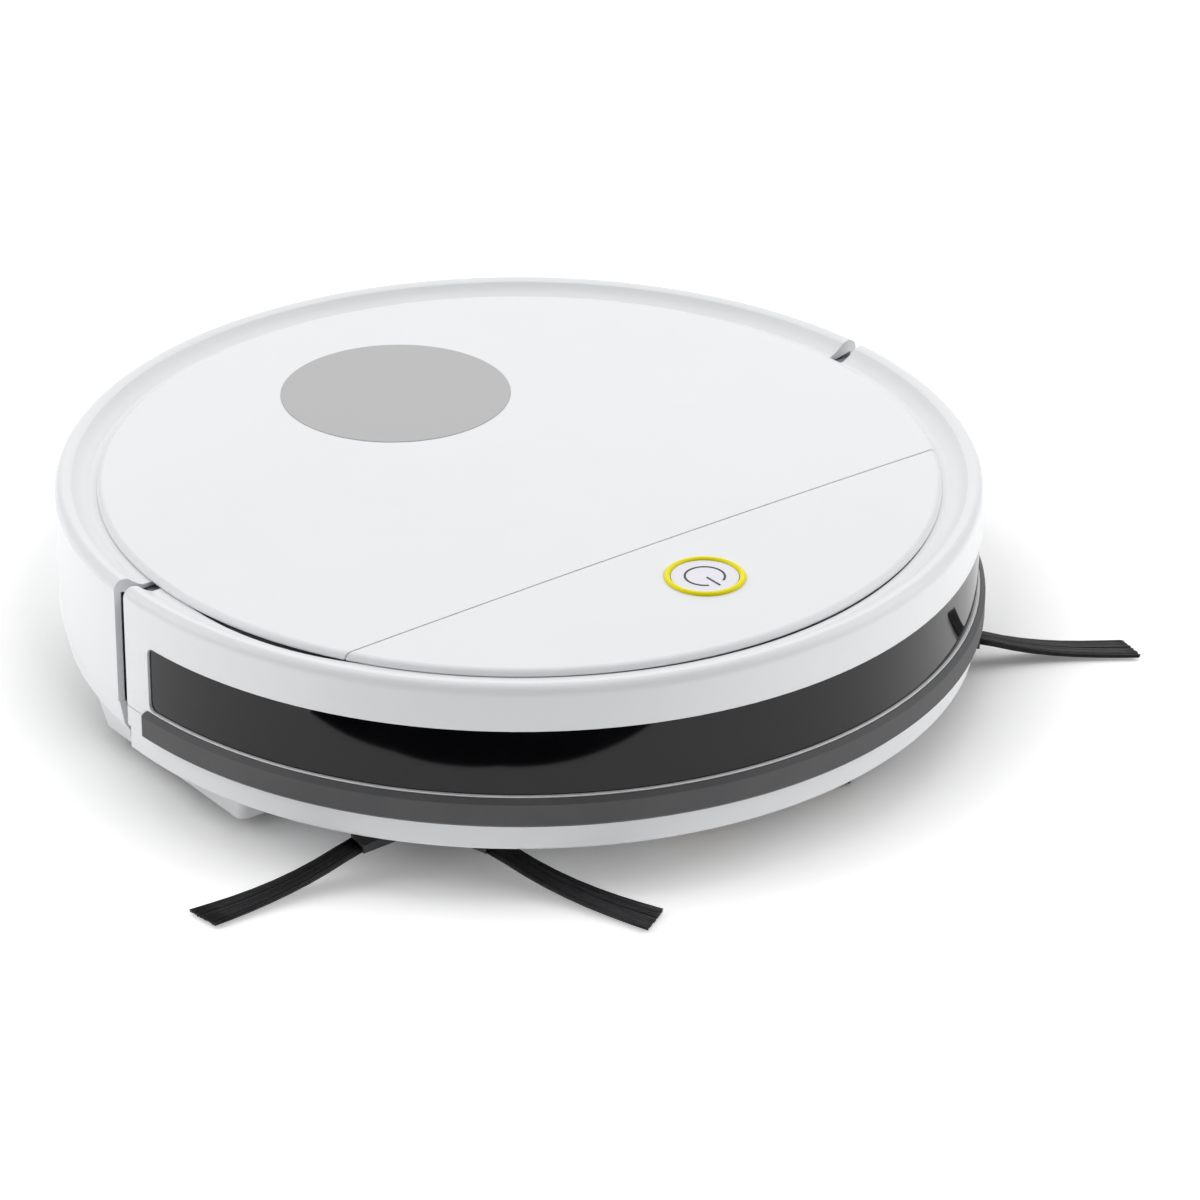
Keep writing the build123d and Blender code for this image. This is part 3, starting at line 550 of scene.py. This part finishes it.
class CLEANER_OT_power_mark(bpy.types.Operator):
    """Print the plain on-off sign on the button: an open ring and a bar"""

    bl_idname = "cleaner.power_mark"
    bl_label = "Button sign"

    def execute(self, context):
        centre = top_centre("power_button") + Vector((0, 0, SIGN_LIFT))
        bm = bmesh.new()
        flat_ring(bm, centre, SIGN_OUTER, SIGN_INNER, SIGN_GAP, 2 * math.pi - SIGN_GAP)
        bar = bmesh.ops.create_cube(bm, size=1.0)
        scale = Matrix.Diagonal((BAR_LENGTH, SIGN_OUTER - SIGN_INNER, SIGN_THICK, 1))
        place = Matrix.Translation(centre + Vector((BAR_MIDDLE, 0, SIGN_THICK / 2)))
        bmesh.ops.transform(bm, matrix=place @ scale, verts=bar["verts"])
        bmesh.ops.recalc_face_normals(bm, faces=bm.faces)
        keep_piece("power_sign", bm, "power_button", "dark_plastic", smooth=False)
        return {"FINISHED"}


class CLEANER_OT_button_ring(bpy.types.Operator):
    """Turn the rounded ring that stands proud round the button"""

    bl_idname = "cleaner.button_ring"
    bl_label = "Button ring"

    def execute(self, context):
        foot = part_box("button_ring")[0][2]
        centre = top_centre("button_ring")
        crown = centre.z + RING_RISE
        centre.z = 0
        outer = half_width("button_ring")
        inner = half_width("power_button") + RING_CLEAR
        half = (outer - inner) / 2
        outline = [(inner, foot)]
        for step in range(ROUND_STEPS + 1):
            turn = math.pi * (1 - step / ROUND_STEPS)
            outline.append((inner + half + half * math.cos(turn), crown - half + half * math.sin(turn)))
        outline.append((outer, foot))
        bm = bmesh.new()
        corners = [bm.verts.new(centre + Vector((radius, 0, height))) for radius, height in outline]
        edges = [bm.edges.new((corners[i], corners[(i + 1) % len(corners)])) for i in range(len(corners))]
        bmesh.ops.spin(bm, geom=edges, cent=centre, axis=(0, 0, 1), dvec=(0, 0, 0),
                       angle=2 * math.pi, steps=96, use_merge=True, use_duplicate=False)
        bmesh.ops.recalc_face_normals(bm, faces=bm.faces)
        piece = keep_piece("rounded_button_ring", bm, "body", "ring_yellow")
        sharpen(piece, degrees=50)
        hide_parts("button_ring")
        return {"FINISHED"}


# ---- stage ----
CAMERA_TURN = 53.2  # degrees round from the machine's right side, towards its front
CAMERA_REACH = 1.800  # metres from the middle of the top
CAMERA_RISE = 26.301  # this and the next three in degrees
CAMERA_PAN = 1.0113
CAMERA_TILT = 27.816
CAMERA_ROLL = 0.4603
LENS = 153.69  # millimetres, on the sensor below
SENSOR = 36.0
GLOW_SHIFT = 0.06  # the floor glows outside a circle shifted this far away from the camera
GLOW_START, GLOW_FULL = 0.178, 0.24
GLOW_STRENGTH = 0.42
CARD_OUTLINE = ((-157, -214), (-90, -236), (-15, -249), (101, -251), (230, -272), (500, -700), (-500, -700))
CARD_HEIGHT = 0.5 * MM
FLOOR_HALF = 6.0
LIGHTS = (  # name, place, target, size, power; places turn with the camera
    ("top_light", (0.0, 0.7, 2.2), (0, 0, 0), (2.6, 2.2), 21),
    ("back_light", (0.0, 2.6, 1.3), (0, 0, 0.05), (3.2, 1.6), 12),
    ("left_light", (-2.2, 0.2, 1.6), (0, 0, 0.05), (1.8, 1.6), 22),
    ("right_light", (2.2, 0.3, 1.5), (0, 0, 0.05), (1.8, 1.6), 22),
)


def camera_matrix(crest):
    """The camera's place and turn, looking past the middle of the top at height crest."""
    turn, rise, pan, tilt, roll = (
        math.radians(v) for v in (CAMERA_TURN, CAMERA_RISE, CAMERA_PAN, CAMERA_TILT, CAMERA_ROLL)
    )
    place = Vector((0, -CAMERA_REACH * math.cos(rise), CAMERA_REACH * math.sin(rise)))
    look = Vector((math.sin(pan) * math.cos(tilt), math.cos(pan) * math.cos(tilt), -math.sin(tilt)))
    right = look.cross(Vector((0, 0, 1))).normalized()
    up = right.cross(look)
    right_rolled = right * math.cos(roll) + up * math.sin(roll)
    up_rolled = up * math.cos(roll) - right * math.sin(roll)
    axes = Matrix((right_rolled, up_rolled, -look)).transposed().to_4x4()
    around = Matrix.Rotation(turn, 4, "Z")
    return Matrix.Translation((0, 0, crest)) @ around @ Matrix.Translation(place) @ axes


def soft_light(name, place, target, size, power):
    lamp = bpy.data.lights.new(name, "AREA")
    lamp.shape = "RECTANGLE"
    lamp.size, lamp.size_y = size
    lamp.energy = power
    holder = bpy.data.objects.new(name, lamp)
    holder.location = place
    holder.rotation_euler = (Vector(target) - Vector(place)).to_track_quat("-Z", "Y").to_euler()
    bpy.context.scene.collection.objects.link(holder)
    return holder


def floor_finish(around):
    """White sweep that glows outside a circle round the machine."""
    material, tree, shader = new_material("pale_floor")
    shader.inputs["Base Color"].default_value = (0.95, 0.95, 0.95, 1)
    shader.inputs["Roughness"].default_value = 0.9
    shader.inputs["Specular IOR Level"].default_value = 0.1
    away = distance_node(tree, around @ Vector((0, GLOW_SHIFT, 0)))
    glow = span_node(tree, GLOW_START, GLOW_FULL, 0.0, 1.0)
    link(tree, away.outputs["Value"], glow.inputs["Value"])
    link(tree, glow.outputs[0], shader.inputs["Emission Color"])
    shader.inputs["Emission Strength"].default_value = GLOW_STRENGTH
    return material


def dark_card(around):
    """A black card before the machine that only its glossy faces pick up."""
    bm = bmesh.new()
    corners = [bm.verts.new(around @ Vector((x * MM, y * MM, CARD_HEIGHT))) for x, y in CARD_OUTLINE]
    bm.faces.new(list(reversed(corners)))
    card = object_from("dark_card", bm)
    material, _, shader = new_material("black_card")
    shader.inputs["Base Color"].default_value = (0, 0, 0, 1)
    shader.inputs["Specular IOR Level"].default_value = 0.0
    card.data.materials.append(material)
    card.visible_camera = False
    card.visible_diffuse = False
    card.visible_shadow = False


def studio_world(around):
    """Even light all round, weaker from the camera's side."""
    world = bpy.data.worlds.new("studio")
    world.use_nodes = True
    tree = world.node_tree
    place = tree.nodes.new("ShaderNodeTexCoord")
    side = tree.nodes.new("ShaderNodeVectorMath")
    side.operation = "DOT_PRODUCT"
    side.inputs[1].default_value = around @ Vector((0, -1, 0))
    link(tree, place.outputs["Generated"], side.inputs[0])
    level = span_node(tree, 0.1, 0.9, 0.46, 0.10)
    link(tree, side.outputs["Value"], level.inputs["Value"])
    link(tree, level.outputs[0], tree.nodes["Background"].inputs["Color"])
    tree.nodes["Background"].inputs["Strength"].default_value = 1.0
    return world


class CLEANER_OT_stage(bpy.types.Operator):
    """Set the camera, the pale floor and the soft studio light"""

    bl_idname = "cleaner.stage"
    bl_label = "Camera and stage"

    def execute(self, context):
        scene = context.scene
        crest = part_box("rear_shell")[1][2]
        camera = bpy.data.objects.new("camera", bpy.data.cameras.new("camera"))
        camera.matrix_world = camera_matrix(crest)
        camera.data.lens = LENS
        camera.data.sensor_width = SENSOR
        camera.data.clip_end = 50
        scene.collection.objects.link(camera)
        scene.camera = camera
        bm = bmesh.new()
        bmesh.ops.create_grid(bm, x_segments=1, y_segments=1, size=FLOOR_HALF)
        floor = object_from("floor", bm)
        around = Matrix.Rotation(math.radians(CAMERA_TURN), 3, "Z")
        floor.data.materials.append(floor_finish(around))
        dark_card(around)
        for name, place, target, size, power in LIGHTS:
            soft_light(name, around @ Vector(place), around @ Vector(target), size, power)
        scene.world = studio_world(around)
        scene.view_settings.view_transform = "Standard"
        scene.view_settings.look = "None"
        return {"FINISHED"}


class CLEANER_PT_panel(bpy.types.Panel):
    bl_idname = "CLEANER_PT_panel"
    bl_label = "Floor cleaner"
    bl_space_type = "VIEW_3D"
    bl_region_type = "UI"
    bl_category = "Cleaner"

    def draw(self, context):
        for settings in (context.scene.cleaner_finish, context.scene.cleaner_brush):
            for name in settings.__annotations__:
                self.layout.prop(settings, name)
        for operator in PIECES:
            self.layout.operator(operator.bl_idname)


PIECES = (
    CLEANER_OT_stage,
    CLEANER_OT_cad_finishes,
    CLEANER_OT_brush_tufts,
    CLEANER_OT_button_ring,
    CLEANER_OT_power_mark,
)
CLASSES = (BrushSettings, FinishSettings, *PIECES, CLEANER_PT_panel)


def register():
    for cls in CLASSES:
        bpy.utils.register_class(cls)
    bpy.types.Scene.cleaner_brush = bpy.props.PointerProperty(type=BrushSettings)
    bpy.types.Scene.cleaner_finish = bpy.props.PointerProperty(type=FinishSettings)


def unregister():
    del bpy.types.Scene.cleaner_brush
    del bpy.types.Scene.cleaner_finish
    for cls in reversed(CLASSES):
        bpy.utils.unregister_class(cls)


def main():
    register()
    for operator in PIECES:
        group, name = operator.bl_idname.split(".")
        getattr(getattr(bpy.ops, group), name)()


if __name__ == "__main__":
    main()
